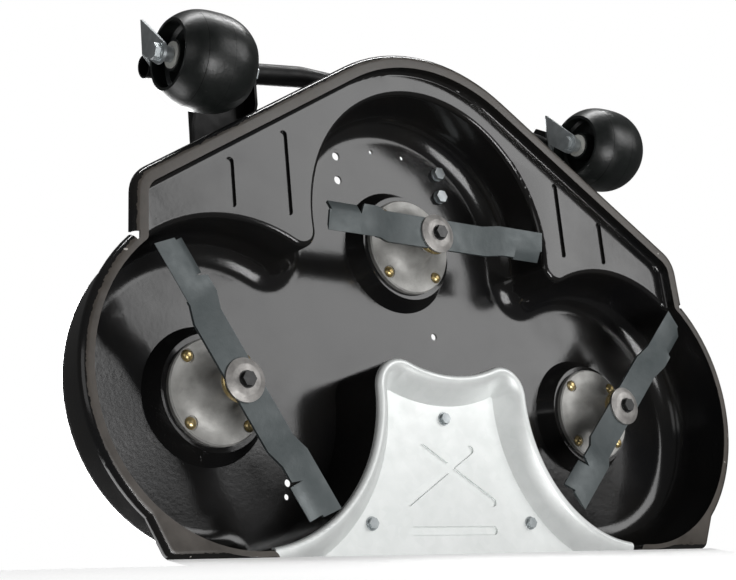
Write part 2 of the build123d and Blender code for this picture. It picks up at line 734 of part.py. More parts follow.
def belt_path():
    """Closed centre line of the belt: three pulleys and the idler on its back."""
    wheels = [
        (*SPINDLES["left"], BELT_R),
        (IDLER_X, IDLER_Y, -(IDLER_R + BELT_GAP + BELT_HALF_DEPTH)),
        (*SPINDLES["right"], BELT_R),
        (*SPINDLES["centre"], BELT_R),
    ]
    spans = []
    for here, there in zip(wheels, wheels[1:] + wheels[:1]):
        dx = there[0] - here[0]
        dy = there[1] - here[1]
        turn = atan2(dy, dx) - asin((there[2] - here[2]) / hypot(dx, dy))
        left = (-sin(turn), cos(turn))
        start = (here[0] - here[2] * left[0], here[1] - here[2] * left[1])
        end = (there[0] - there[2] * left[0], there[1] - there[2] * left[1])
        spans.append((start, end))
    edges = []
    for index, (x, y, radius) in enumerate(wheels):
        arrive = spans[index - 1][1]
        leave = spans[index][0]
        first = atan2(arrive[1] - y, arrive[0] - x)
        last = atan2(leave[1] - y, leave[0] - x)
        sweep = (last - first) % (2 * pi) if radius > 0 else -((first - last) % (2 * pi))
        middle = first + sweep / 2
        size = abs(radius)
        edges.append(ThreePointArc(arrive, (x + size * cos(middle), y + size * sin(middle)), leave))
        edges.append(Line(*spans[index]))
    return Wire(edges)


def deck_belt():
    """V belt, drawn as a fixed loop just clear of the pulleys."""
    path = Pos(0, 0, PULLEY_Z) * belt_path()
    start = path.position_at(0)
    along = path.tangent_at(0)
    back = Vector(along.Y, -along.X, 0)
    plane = Plane(origin=start, x_dir=back, z_dir=along)
    up = plane.y_dir.Z
    points = [
        (BELT_HALF_DEPTH, -BELT_BACK_HALF * up),
        (BELT_HALF_DEPTH, BELT_BACK_HALF * up),
        (-BELT_HALF_DEPTH, BELT_INNER_HALF * up),
        (-BELT_HALF_DEPTH, -BELT_INNER_HALF * up),
    ]
    return sweep(plane * make_face(Polyline(*points, close=True)), path)


def idler_pulley():
    """Flat idler that runs on the back of the belt."""
    low = PULLEY_Z - IDLER_HALF
    top = PULLEY_Z + IDLER_HALF
    body = turned(
        (IDLER_BEARING_R, low - IDLER_LIP_THICK),
        (IDLER_R + IDLER_LIP, low - IDLER_LIP_THICK),
        (IDLER_R + IDLER_LIP, low - 1),
        (IDLER_R, low),
        (IDLER_R, top),
        (IDLER_R + IDLER_LIP, top + 1),
        (IDLER_R + IDLER_LIP, top + IDLER_LIP_THICK),
        (IDLER_R - IDLER_RIM, top + IDLER_LIP_THICK),
        (IDLER_R - IDLER_RIM, PULLEY_Z + IDLER_WEB_RISE),
        (IDLER_BEARING_R, PULLEY_Z + IDLER_WEB_RISE),
    )
    return Pos(IDLER_X, IDLER_Y, 0) * body


def idler_bearing():
    """Bearing pressed into the idler, running on its bolt."""
    low = IDLER_BRACKET_Z + IDLER_BRACKET_THICK + IDLER_CLEAR
    race = ring(IDLER_BEARING_R, IDLER_BOLT_R + RUN_FIT, low, PULLEY_Z + IDLER_WEB_RISE)
    return Pos(IDLER_X, IDLER_Y, 0) * race


def idler_bolt():
    """Bolt through the idler and its bracket, with the head on top."""
    seat = PULLEY_Z + IDLER_WEB_RISE + BEARING_PLAY
    step = seat + IDLER_FLANGE
    bolt = disc(0, 0, IDLER_BOLT_R, IDLER_BRACKET_Z - IDLER_BOLT_TAIL, seat)
    bolt += disc(0, 0, IDLER_FLANGE_R, seat, step) + hex_prism(IDLER_HEX, step, seat + IDLER_HEAD)
    return Pos(IDLER_X, IDLER_Y, 0) * bolt


def idler_nut():
    """Nut under the idler bracket."""
    low = IDLER_BRACKET_Z - IDLER_NUT_HEIGHT
    return Pos(IDLER_X, IDLER_Y, 0) * nut(IDLER_HEX, IDLER_BOLT_R, low, IDLER_BRACKET_Z)


def idler_bracket():
    """Slotted channel welded on the deck, in which the idler bolt is set for belt tension."""
    length = IDLER_BRACKET_LENGTH
    width = IDLER_BRACKET_WIDTH
    top = IDLER_BRACKET_Z + IDLER_BRACKET_THICK
    outer = slab(Rectangle(width, length), FLOOR_TOP, top)
    inner_w = width - 2 * IDLER_BRACKET_THICK
    inner = slab(Rectangle(inner_w, length + 2), FLOOR_TOP - 1, IDLER_BRACKET_Z)
    slot = slab(SlotOverall(IDLER_SLOT, 2 * IDLER_BOLT_R, rotation=90), IDLER_BRACKET_Z - 1, top + 1)
    body = outer - inner
    edges = body.edges().filter_by(Axis.Y).sort_by(Axis.Z)[-2:]
    body = fillet(edges, IDLER_BRACKET_THICK - 1)
    return Pos(IDLER_X, IDLER_Y, 0) * (body - slot)


def plug_plan(inset, rear):
    """Plan of the plug: two flanks round the outer blades, a saddle round the centre one, round humps."""
    radius = PLUG_R + inset
    bend = PLUG_HUMP_R - inset
    half = DISCHARGE_HALF - 2 * PLUG_FIT
    size = PLUG_R + PLUG_HUMP_R
    reach = sqrt(size**2 - SPINDLE_PITCH**2 / 4)
    hump_x = SPINDLE_HALF_SPAN / 2 - reach * SPINDLE_LEAD / SPINDLE_PITCH
    hump_y = -SPINDLE_LEAD / 2 + reach * SPINDLE_HALF_SPAN / SPINDLE_PITCH
    to_side = ((hump_x - SPINDLE_HALF_SPAN) / size, hump_y / size)
    to_centre = (hump_x / size, (hump_y + SPINDLE_LEAD) / size)
    flank = (SPINDLE_HALF_SPAN + radius * to_side[0], radius * to_side[1])
    saddle = (radius * to_centre[0], -SPINDLE_LEAD + radius * to_centre[1])
    outward = Vector(SPINDLE_LEAD, -SPINDLE_HALF_SPAN) / SPINDLE_PITCH
    tip = (hump_x + bend * outward.X, hump_y + bend * outward.Y)
    end = (half, sqrt(radius**2 - (SPINDLE_HALF_SPAN - half) ** 2))
    middle = (atan2(end[1], end[0] - SPINDLE_HALF_SPAN) + atan2(to_side[1], to_side[0])) / 2
    if to_side[1] < 0:
        middle += pi
    through = (SPINDLE_HALF_SPAN + radius * cos(middle), radius * sin(middle))
    edges = [ThreePointArc((-saddle[0], saddle[1]), (0, radius - SPINDLE_LEAD), saddle)]
    for side in SIDES.values():
        points = mirror_x([saddle, tip, flank, through, end, (half, rear)], side)
        edges.append(ThreePointArc(*points[:3]))
        edges.append(ThreePointArc(*points[2:5]))
        edges.append(Line(points[4], points[5]))
    edges.append(Line((-half, rear), (half, rear)))
    return make_face(edges)


def plug_block(inset, rear):
    """The plug as a solid block with a rolled lower edge, drawn in by an inset."""
    body = slab(plug_plan(inset, rear), PLUG_CREST_Z + inset, FLOOR_Z + inset)
    lowest = body.faces().sort_by(Axis.Z)[0]
    return fillet(lowest.edges().filter_by(GeomType.CIRCLE), PLUG_ROLL_R - inset)


def plug_cone(low_z, low_inset, high_z, high_inset):
    """A sloping-sided solid between two insets of the plug plan."""
    rear = REAR_REACH + OVERRUN
    low = Pos(0, 0, low_z) * plug_plan(low_inset, rear)
    high = Pos(0, 0, high_z) * plug_plan(high_inset, rear)
    return loft([low, high])


def plug_bowl(grow):
    """The hollow of the plug: a flared lip and a steeper slope up to the flat face."""
    flare_z = PLUG_CREST_Z + PLUG_FLARE_RISE
    flare = (PLUG_FLARE_INSET - PLUG_LIP_INSET) / PLUG_FLARE_RISE
    slope = (PLUG_SLOPE_INSET - PLUG_FLARE_INSET) / (PLUG_FACE_Z - flare_z)
    reach = PLUG_OVERLAP
    lip = plug_cone(
        PLUG_CREST_Z - reach + grow,
        PLUG_LIP_INSET - reach * flare,
        flare_z + reach + grow,
        PLUG_FLARE_INSET + reach * flare,
    )
    drop = 3 * reach
    draw = PLUG_DRAW * grow
    wall = plug_cone(
        flare_z - drop,
        PLUG_FLARE_INSET - drop * slope - draw - grow * slope,
        PLUG_FACE_Z + grow,
        PLUG_SLOPE_INSET - draw,
    )
    return lip + wall


def plug_wall(fit, low, high):
    """The outer wall of the plug between two heights, inside the chamber drawn in by a fit."""
    wall = plug_block(0, REAR_REACH + OVERRUN) - plug_block(PLUG_SHEET, REAR_REACH + 2 * OVERRUN)
    far = 4 * DISCHARGE_HALF
    return wall & chamber(fit, RIM_Z) & slab(Rectangle(far, far), low, high)


def mulching_plug():
    """Galvanised plug: a rolled lip turned up all round and a bowl with a flat, beaded face."""
    block = plug_block(0, REAR_REACH + OVERRUN) & chamber(-PLUG_FIT, RIM_Z)
    bowl = plug_bowl(0)
    skin = plug_wall(-PLUG_FIT, 0, PLUG_WALL_Z) + (block & plug_bowl(PLUG_SHEET))
    face = PLUG_FACE_Z
    high = face + PLUG_SHEET
    grooves = Part()
    ribs = Part()
    for x0, y0, x1, y1 in PLUG_BEADS:
        length = hypot(x1 - x0, y1 - y0)
        place = Pos((x0 + x1) / 2, (y0 + y1) / 2) * Rot(0, 0, degrees(atan2(y1 - y0, x1 - x0)))
        rib_width = PLUG_BEAD_WIDTH + 2 * PLUG_SHEET
        wide = place * SlotOverall(length + PLUG_BEAD_WIDTH, PLUG_BEAD_WIDTH)
        outer = place * SlotOverall(length + rib_width, rib_width)
        grooves += slab(wide, face - 1, face + PLUG_BEAD_DEPTH)
        ribs += slab(outer, face, high + PLUG_BEAD_DEPTH)
    skin += ribs & block
    skin -= bowl
    skin -= grooves
    for x, y in PLUG_SCREWS:
        skin -= disc(x, y, PLUG_SCREW_R + HOLE_FIT, face - 1, high + 1)
    return skin - behind_deck()


def plug_baffle():
    """Painted wall between the lip of the plug and the chamber floor."""
    return plug_wall(0, PLUG_WALL_Z, FLOOR_Z) - behind_deck()


def plug_screws():
    """Hexagon screws that hold the plug up against the deck floor."""
    head = flanged_head(HEX_M8, PLUG_SPACER_R, PLUG_FACE_Z - PLUG_HEAD, PLUG_FACE_Z)
    screw = head + disc(0, 0, PLUG_SCREW_R, PLUG_FACE_Z, FLOOR_TOP + PLUG_SCREW_TAIL)
    return [Pos(x, y, 0) * screw for x, y in PLUG_SCREWS]


def plug_spacers():
    """Tubes between the plug and the deck floor."""
    tube = ring(PLUG_SPACER_R, PLUG_SCREW_R + HOLE_FIT, PLUG_FACE_Z + PLUG_SHEET, FLOOR_Z)
    return [Pos(x, y, 0) * tube for x, y in PLUG_SCREWS]


def plug_nuts():
    """Nuts of the plug screws, on top of the deck."""
    piece = nut(HEX_M8, PLUG_SCREW_R, FLOOR_TOP, FLOOR_TOP + PLUG_NUT_HEIGHT)
    return [Pos(x, y, 0) * piece for x, y in PLUG_SCREWS]


def tube_solid(radius):
    """Bent cross tube as a solid bar."""
    ends = [(-TUBE_END[0], TUBE_END[1]), (-TUBE_BEND[0], TUBE_BEND[1]), TUBE_BEND, TUBE_END]
    path = FilletPolyline(*[(x, y, TUBE_Z) for x, y in ends], radius=TUBE_BEND_R)
    plane = Plane(origin=path @ 0, z_dir=path % 0)
    return sweep(plane * Circle(radius), path)


def front_arm(side, tube):
    """Channel from the cross tube back onto the deck top, saddled over the tube."""
    middle = side * (ARM_INNER_X + ARM_WIDTH / 2)
    outline = [
        (ARM_FRONT_Y + ARM_TOE, ARM_SADDLE_Z),
        (ARM_SADDLE_Y, ARM_SADDLE_Z),
        (ARM_SADDLE_Y + ARM_RAMP, FLOOR_TOP),
        (ARM_REAR_Y, FLOOR_TOP),
        (ARM_REAR_Y, ARM_WEB_Z + ARM_SHEET),
        (ARM_FRONT_Y + ARM_NOSE, ARM_WEB_Z + ARM_SHEET),
        (ARM_FRONT_Y, ARM_WEB_Z - ARM_NOSE),
    ]
    solid = extrude(Plane.YZ * make_face(Polyline(*outline, close=True)), ARM_WIDTH / 2, both=True)
    tall = ARM_WEB_Z - ARM_SADDLE_Z + OVERRUN
    inner = Pos(0, ARM_FRONT_Y / 2, ARM_WEB_Z - tall / 2) * Box(
        ARM_WIDTH - 2 * ARM_SHEET, -2 * ARM_FRONT_Y, tall
    )
    edges = solid.edges().filter_by(Axis.Y).sort_by(Axis.Z)[-2:]
    solid = fillet(edges, ARM_BEND_R)
    return Pos(middle, 0, 0) * (solid - inner) - tube


def wheel():
    """Barrel-shaped wheel about Z, hollow at both ends, with a bored hub."""
    half = WHEEL_WIDTH / 2
    steps = [0.0, 0.25, 0.45, 0.62, 0.76, 0.88, 1.0]
    crown = [(WHEEL_R - (WHEEL_R - WHEEL_END_R) * s**WHEEL_POWER, s * half) for s in steps]
    curve = Spline(*[(r, -z) for r, z in reversed(crown)], *crown[1:])
    lip = WHEEL_END_R - WHEEL_LIP
    deep = half - WHEEL_RECESS
    hub = half - WHEEL_HUB_INSET
    rest = Polyline(
        (WHEEL_END_R, half),
        (lip, half),
        (lip + WHEEL_DRAFT, deep + WHEEL_WEB_BEND),
        (lip - WHEEL_DRAFT, deep),
        (WHEEL_HUB_R + WHEEL_DRAFT, deep),
        (WHEEL_HUB_R, hub),
        (WHEEL_BEARING_R, hub),
        (WHEEL_BEARING_R, -hub),
        (WHEEL_HUB_R, -hub),
        (WHEEL_HUB_R + WHEEL_DRAFT, -deep),
        (lip - WHEEL_DRAFT, -deep),
        (lip + WHEEL_DRAFT, -deep - WHEEL_WEB_BEND),
        (lip, -half),
        (WHEEL_END_R, -half),
    )
    return revolve(Plane.XZ * make_face([curve, rest]), Axis.Z)


def on_axle(side, shape):
    """Lay a part drawn along Z onto a wheel axle, with its top towards +X."""
    return Pos(side * WHEEL_X, WHEEL_Y, WHEEL_R) * Rot(0, 90, 0) * shape


def wheel_bearings():
    """Two flanged bushes of one wheel."""
    end = WHEEL_WIDTH / 2 - WHEEL_HUB_INSET
    bore = AXLE_R + RUN_FIT
    bush = ring(WHEEL_BEARING_R, bore, end - BUSH_LENGTH, end)
    bush += ring(WHEEL_BEARING_LIP_R, bore, end, end + BUSH_LIP)
    return [bush, Rot(180, 0, 0) * bush]


def wheel_spacers():
    """Plain tubes between the bushes and the fork legs."""
    low = WHEEL_WIDTH / 2 - WHEEL_HUB_INSET + BUSH_LIP + BEARING_PLAY
    tube = ring(AXLE_R + SPACER_WALL, AXLE_R, low, FORK_INNER)
    pair = [tube, Rot(180, 0, 0) * tube]
    return [on_axle(side, piece) for side in SIDES.values() for piece in pair]


def axle_bolts():
    """Hexagon bolts of both wheels, heads towards the machine's right."""
    face = FORK_INNER + FORK_SHEET
    head = flanged_head(HEX_M12, AXLE_FLANGE_R, -face - AXLE_HEAD, -face)
    bolt = head + disc(0, 0, AXLE_R, -face, face + AXLE_TAIL)
    return [on_axle(side, bolt) for side in SIDES.values()]


def axle_nuts():
    """Lock nuts of both axle bolts."""
    face = FORK_INNER + FORK_SHEET
    piece = nut(HEX_M12, AXLE_R, face, face + AXLE_NUT_HEIGHT)
    return [on_axle(side, piece) for side in SIDES.values()]


def wheel_fork(side):
    """Folded strap: two legs, leaning shoulders and a base welded under the tube."""
    top = TUBE_Z - TUBE_R
    out = FORK_INNER + FORK_SHEET
    shift = FORK_SHEET * tan(pi / 8)
    in_top = FORK_INNER - FORK_LEAN
    half_outer = [(out, 0), (out, FORK_FOLD_Z + shift), (in_top + shift, top), (0, top)]
    under = top - FORK_SHEET
    half_inner = [(0, under), (in_top, under), (FORK_INNER, FORK_FOLD_Z), (FORK_INNER, 0)]
    right = half_outer + half_inner
    left = [(-x, z) for x, z in right]
    strap = Sketch() + make_face(Polyline(*right, close=True)) + make_face(Polyline(*left, close=True))
    solid = extrude(Plane.XZ * strap, -2 * WHEEL_Y)
    eye = Pos(WHEEL_Y, WHEEL_R) * Circle(FORK_EYE_R)
    fold = Line((FORK_FRONT_Y, FORK_FOLD_Z), (FORK_REAR_Y, FORK_FOLD_Z))
    leg = make_hull(eye.edges() + [fold])
    middle = (FORK_FRONT_Y + FORK_REAR_Y) / 2
    tall = top - FORK_FOLD_Z
    leg += Pos(middle, FORK_FOLD_Z + tall / 2) * Rectangle(FORK_REAR_Y - FORK_FRONT_Y, tall)
    shape = extrude(Plane.YZ * leg, 2 * out, both=True)
    solid = solid & shape
    solid = Pos(side * WHEEL_X, 0, 0) * solid
    return solid - on_axle(side, disc(0, 0, AXLE_R, -2 * out, 2 * out))


def hanger_length():
    """Length of the front clevis along Y."""
    return BRACKET_HOLE_YS[1] - BRACKET_HOLE_YS[0] + 2 * CLEVIS_END


def hanger_base():
    """Base plate of the front clevis, bolted to the deck top over one pair of floor holes."""
    top = FLOOR_TOP + HANGER_SHEET
    middle = sum(BRACKET_HOLE_YS) / 2
    plate = Pos(BRACKET_HOLE_X, middle, 0) * slab(Rectangle(CLEVIS_WIDTH, hanger_length()), FLOOR_TOP, top)
    for y in BRACKET_HOLE_YS:
        plate -= disc(BRACKET_HOLE_X, y, BRACKET_HOLE_R, FLOOR_TOP - 1, top + 1)
    return plate


def hanger_ear(end):
    """One ear of the front clevis, welded on an end of its base and bored for the pin of the link."""
    wide = CLEVIS_EAR_R
    rise = CLEVIS_HEIGHT - CLEVIS_EAR_R
    outline = Polyline((-wide, 0), (wide, 0), (wide, rise), (-wide, rise), close=True)
    ear = extrude(Plane.XZ * make_face(outline), HANGER_SHEET / 2, both=True)
    ear += Pos(0, 0, rise) * Rot(90, 0, 0) * Cylinder(wide, HANGER_SHEET)
    ear -= Pos(0, 0, rise) * Rot(90, 0, 0) * Cylinder(HANGER_HOLE_R, 2 * HANGER_SHEET)
    y = sum(BRACKET_HOLE_YS) / 2 + end * (hanger_length() - HANGER_SHEET) / 2
    return Pos(BRACKET_HOLE_X, y, FLOOR_TOP + HANGER_SHEET) * ear


def hanger_bolts():
    """Zinc bolts of the front clevis, heads inside the chamber."""
    flange_r = BRACKET_SEAT_R - 2 * BRACKET_FIT
    head = flanged_head(HEX_M10, flange_r, FLOOR_Z - HANGER_HEAD, FLOOR_Z)
    top = FLOOR_TOP + HANGER_SHEET + HANGER_TAIL
    bolt = head + disc(0, 0, BRACKET_HOLE_R - BRACKET_FIT, FLOOR_Z, top)
    return [Pos(BRACKET_HOLE_X, y, 0) * bolt for y in BRACKET_HOLE_YS]


def hanger_nuts():
    """Nuts of the front clevis."""
    low = FLOOR_TOP + HANGER_SHEET
    piece = nut(HANGER_NUT_HEX, BRACKET_HOLE_R - BRACKET_FIT, low, low + HANGER_NUT_HEIGHT)
    return [Pos(BRACKET_HOLE_X, y, 0) * piece for y in BRACKET_HOLE_YS]


def rear_hanger(side):
    """Upright lug welded on the deck top, bored across for the lift link."""
    x, y = REAR_HANGER
    eye_z = FLOOR_TOP + REAR_HANGER_HEIGHT - REAR_EYE_R
    half = REAR_HANGER_LENGTH / 2
    outline = [(-half, FLOOR_TOP), (half, FLOOR_TOP), (REAR_EYE_R, eye_z), (-REAR_EYE_R, eye_z)]
    lug = extrude(Plane.YZ * make_face(Polyline(*outline, close=True)), HANGER_SHEET, both=True)
    eye = Pos(0, 0, eye_z) * Rot(0, 90, 0) * Cylinder(REAR_EYE_R, 2 * HANGER_SHEET)
    lug += eye
    lug -= Pos(0, 0, eye_z) * Rot(0, 90, 0) * Cylinder(HANGER_HOLE_R, 4 * HANGER_SHEET)
    return Pos(side * x, y, 0) * lug


os.makedirs("parts", exist_ok=True)

save("deck_shell", deck_shell())

for name in SPINDLES:
    grooves = 2 if name == "centre" else 1
    stack = {
        "spindle_housing": spindle_housing(),
        "spindle_shaft": spindle_shaft(pulley_top(grooves) + SHAFT_TAIL),
        "dust_collar": dust_collar(),
        "blade": Rot(0, 0, BLADE_TURN[name]) * blade(),
        "blade_washer": blade_washer(),
        "blade_bolt": blade_bolt(),
        "pulley": pulley(grooves),
        "pulley_nut": pulley_nut(grooves),
    }
    for node, shape in stack.items():
        save(f"{node}_{name}", at_spindle(name, shape))
save("spindle_bearings", [at_spindle(name, piece) for name in SPINDLES for piece in spindle_bearings()])
save("housing_bolts", housing_bolts())
save("housing_nuts", housing_nuts())

save("deck_belt", deck_belt())
save("idler_pulley", idler_pulley())
save("idler_bearing", idler_bearing())
save("idler_bolt", idler_bolt())
save("idler_nut", idler_nut())
save("idler_bracket", idler_bracket())

save("mulching_plug", mulching_plug())
save("plug_baffle", plug_baffle())
save("plug_screws", plug_screws())
save("plug_spacers", plug_spacers())
save("plug_nuts", plug_nuts())

tube_bar = tube_solid(TUBE_R)
save("front_tube", tube_bar - tube_solid(TUBE_R - TUBE_WALL))
for name, side in SIDES.items():
    save(f"front_arm_{name}", front_arm(side, tube_bar))
    save(f"wheel_{name}", on_axle(side, wheel()))
    save(f"wheel_bearings_{name}", [on_axle(side, piece) for piece in wheel_bearings()])
    save(f"wheel_fork_{name}", wheel_fork(side))
    save(f"rear_hanger_{name}", rear_hanger(side))
save("wheel_spacers", wheel_spacers())
save("axle_bolts", axle_bolts())
save("axle_nuts", axle_nuts())

save("hanger_base", hanger_base())
save("hanger_ear_front", hanger_ear(-1))
save("hanger_ear_rear", hanger_ear(1))
save("hanger_bolts", hanger_bolts())
save("hanger_nuts", hanger_nuts())
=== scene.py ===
import json
import math

import bpy
from mathutils import Matrix, Vector


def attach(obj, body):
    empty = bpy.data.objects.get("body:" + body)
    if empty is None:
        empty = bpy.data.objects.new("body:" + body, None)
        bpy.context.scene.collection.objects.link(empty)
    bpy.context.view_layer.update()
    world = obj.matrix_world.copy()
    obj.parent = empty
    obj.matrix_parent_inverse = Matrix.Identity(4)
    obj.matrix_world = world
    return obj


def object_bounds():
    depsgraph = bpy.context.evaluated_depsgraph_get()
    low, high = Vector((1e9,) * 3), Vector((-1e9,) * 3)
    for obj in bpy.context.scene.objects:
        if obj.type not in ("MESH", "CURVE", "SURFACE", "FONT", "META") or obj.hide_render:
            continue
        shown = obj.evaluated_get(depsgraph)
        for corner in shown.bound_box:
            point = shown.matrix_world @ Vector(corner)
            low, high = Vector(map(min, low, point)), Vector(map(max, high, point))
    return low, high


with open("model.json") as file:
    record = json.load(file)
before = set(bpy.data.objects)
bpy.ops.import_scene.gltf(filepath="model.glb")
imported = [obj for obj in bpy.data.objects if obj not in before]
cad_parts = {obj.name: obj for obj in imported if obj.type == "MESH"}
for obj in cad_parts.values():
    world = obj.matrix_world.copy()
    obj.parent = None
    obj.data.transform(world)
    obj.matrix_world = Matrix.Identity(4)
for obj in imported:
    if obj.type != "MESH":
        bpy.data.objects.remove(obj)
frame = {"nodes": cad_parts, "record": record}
cad_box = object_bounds()
nodes = frame["nodes"]

# Camera of the photograph: turned about its own axes, with the lens for a 36 mm sensor
CAMERA_PLACE = (-1.2315, 0.50408, -1.32421)
CAMERA_PITCH = math.radians(-15.766)
CAMERA_YAW = math.radians(-38.466)
CAMERA_ROLL = math.radians(-5.260)
CAMERA_LENS = 68.66
SENSOR_WIDTH = 36.0

# Stage: a level ground floor, and a floor that leans as the photograph's does, in metres
FLOOR_SIZE = 14.0
FLOOR_TONE = 0.9
FLOOR_ROUGH = 0.9
SHADE_GLOW = 0.3
SHADE_LEAN = math.radians(15.0)
SHADE_DEPTH = 4.0
CONTACT_HALF = 0.46
WHITE = (1.0, 1.0, 1.0, 1.0)
STUDIO_STRENGTH = 0.08

# Lamps: place, point that it faces, width, height and power of each soft box, and one wide light overhead
MIDDLE = (0.0, 0.0, 0.1)
SOFTBOXES = {
    "below_front": ((2.05, -1.12, -2.3), (2.05, -1.12, 0.0), 2.2, 1.6, 44),
    "below_left": ((-2.6, -0.2, -1.2), MIDDLE, 1.2, 1.8, 7),
    "below_rear": ((-0.1, 1.3, -2.4), (0.0, 0.6, 0.0), 1.6, 1.2, 44),
    "ahead": ((0.2, -2.6, 0.16), MIDDLE, 3.0, 0.16, 60),
    "above_rear": ((-1.6, 2.0, 1.7), MIDDLE, 1.6, 1.6, 28),
}
OVERHEAD_LEAN = (-0.3, 0.05, -1.0)
OVERHEAD_SPREAD = math.radians(36.0)
OVERHEAD_POWER = 3.6

# Height of the deck's flat rim, in metres
RIM_Z = 0.045

# Smooth shading of the CAD nodes
SMOOTH_ANGLE = math.radians(32.0)
MERGE_DISTANCE = 1e-6

# All surfaces: the range that noise mostly fills, and how much finer gloss and relief are than colour
NOISE_SPAN = (0.3, 0.7)
FULL_SPAN = (0.0, 1.0)
GLOSS_SCALE = 2.3
RELIEF_SCALE = 6.0
RELIEF_STRENGTH = 0.6

# Colour sockets of a Mix node
MIX_FIRST = 6
MIX_SECOND = 7
MIX_RESULT = 2

# Deck paint: colours, gloss, and how high above the rim it is rubbed and chipped, in metres
PAINT_DARK = (0.0085, 0.0085, 0.009)
PAINT_LIGHT = (0.0125, 0.0118, 0.011)
RUBBED = (0.085, 0.074, 0.064)
BARE_STEEL = (0.55, 0.52, 0.48)
PAINT_ROUGH = (0.12, 0.18)
RUBBED_ROUGH = 0.24
PAINT_MOTTLE_SCALE = 9.0
PAINT_MOTTLE_SPAN = (0.35, 0.65)
PAINT_GLOSS_SCALE = 22.0
RUBBED_SCALE = 16.0
RUBBED_SPAN = (0.3, 0.6)
RUBBED_SHARE = (0.55, 1.0)
WORN_RISE = 0.0009
WORN_FADE = 0.0002
RAGGED_SCALE = 90.0
WORN_RAGGED = 0.0006
CHIP_SCALE = 34.0
CHIP_RISE = 0.011
CHIP_FADE = 0.002
CHIP_CUT = (0.715, 0.725)
PEEL_SCALE = 160.0
PEEL_STRENGTH = 0.1
PEEL_DEPTH = 0.0006

# Galvanised sheet: colours, gloss, and the shares of spangle and cloud in its mottle
ZINC_DARK = (0.8, 0.83, 0.815)
ZINC_LIGHT = (0.93, 0.95, 0.94)
ZINC_ROUGH = (0.36, 0.5)
ZINC_METAL = 0.3
ZINC_GLOSS_SCALE = 40.0
SPANGLE_SCALE = 95.0
SPANGLE_SHARE = 0.35
CLOUD_SCALE = 11.0
CLOUD_SPAN = (0.32, 0.68)
CLOUD_SHARE = 0.65
SHEET_SCALE = 60.0
SHEET_STRENGTH = 0.12
SHEET_DEPTH = 0.0008

# All other surfaces: two colours, range of roughness, share of metal, noise scale, relief and shine
FINISHES = {
    "frame_paint": {
        "dark": (0.004, 0.004, 0.0042),
        "light": (0.008, 0.008, 0.0084),
        "rough": (0.4, 0.52),
        "scale": 30.0,
        "relief": 0.0003,
        "shine": 0.3,
    },
    "cast_metal": {
        "dark": (0.31, 0.305, 0.29),
        "light": (0.5, 0.495, 0.475),
        "rough": (0.42, 0.56),
        "metal": 0.3,
        "scale": 34.0,
        "relief": 0.0005,
    },
    "shaft_steel": {
        "dark": (0.36, 0.36, 0.36),
        "light": (0.52, 0.52, 0.52),
        "rough": (0.25, 0.36),
        "metal": 1.0,
        "scale": 60.0,
    },
    "yellow_zinc": {
        "dark": (0.58, 0.43, 0.17),
        "light": (0.78, 0.63, 0.34),
        "rough": (0.24, 0.38),
        "metal": 0.85,
        "scale": 70.0,
    },
    "blade_paint": {
        "dark": (0.07, 0.085, 0.088),
        "light": (0.1, 0.115, 0.118),
        "rough": (0.36, 0.5),
        "metal": 0.25,
        "scale": 26.0,
        "relief": 0.0004,
    },
    "washer_steel": {
        "dark": (0.26, 0.25, 0.24),
        "light": (0.5, 0.48, 0.46),
        "rough": (0.36, 0.52),
        "metal": 0.5,
        "scale": 60.0,
        "relief": 0.0005,
    },
    "black_steel": {
        "dark": (0.008, 0.008, 0.008),
        "light": (0.018, 0.018, 0.018),
        "rough": (0.3, 0.45),
        "scale": 80.0,
    },
    "zinc": {
        "dark": (0.34, 0.37, 0.38),
        "light": (0.5, 0.53, 0.54),
        "rough": (0.32, 0.45),
        "metal": 0.7,
        "scale": 55.0,
    },
    "pulley_steel": {
        "dark": (0.03, 0.03, 0.032),
        "light": (0.05, 0.05, 0.053),
        "rough": (0.3, 0.42),
        "metal": 0.3,
        "scale": 40.0,
        "relief": 0.0003,
    },
    "belt_rubber": {
        "dark": (0.012, 0.012, 0.012),
        "light": (0.024, 0.024, 0.024),
        "rough": (0.6, 0.75),
        "scale": 120.0,
        "relief": 0.0005,
    },
    "wheel_plastic": {
        "dark": (0.005, 0.0065, 0.006),
        "light": (0.01, 0.0118, 0.011),
        "rough": (0.3, 0.4),
        "scale": 45.0,
        "relief": 0.0003,
    },
    "wheel_seam": {
        "dark": (0.001, 0.001, 0.001),
        "light": (0.003, 0.003, 0.003),
        "rough": (0.5, 0.6),
        "scale": 90.0,
        "shine": 0.2,
    },
    "bush_plastic": {
        "dark": (0.5, 0.5, 0.47),
        "light": (0.62, 0.62, 0.58),
        "rough": (0.4, 0.5),
        "scale": 60.0,
    },
}

# Weld beads on the deck top: x, first y and last y of each, in metres
WELD_Z = 0.157
WELD_R = 0.0024
WELD_STEP = 0.0011
WELD_RIPPLE = 0.16
RIPPLE_STEPS = 4
WELD_SIDES = 10
ARM_WELDS = [(0.231, 0.0065, 0.0355), (0.326, -0.0265, 0.0355)]
HANGER_WELDS = [(0.195, 0.2525, 0.3225), (0.205, 0.2525, 0.3225)]
BRACKET_WELDS = [(0.047, 0.1775, 0.2615), (0.093, 0.1775, 0.2615)]
WELDS = [(side * x, *ends) for side in (1, -1) for x, *ends in ARM_WELDS + HANGER_WELDS] + BRACKET_WELDS

# Wheels: middle of the left one, form of the tread, and places of the moulding seams across it, in metres
WHEEL_PLACE = (0.3584, -0.275151, 0.0645)
WHEEL_R = 0.0645
WHEEL_END_R = 0.04625
WHEEL_WIDTH = 0.1045
WHEEL_POWER = 2.8
SEAM_SHIFTS = (-0.028, 0.008)
SEAM_R = 0.0009
SEAM_SUNK = 0.00082
SEAM_STEPS = 96
SEAM_SIDES = 8


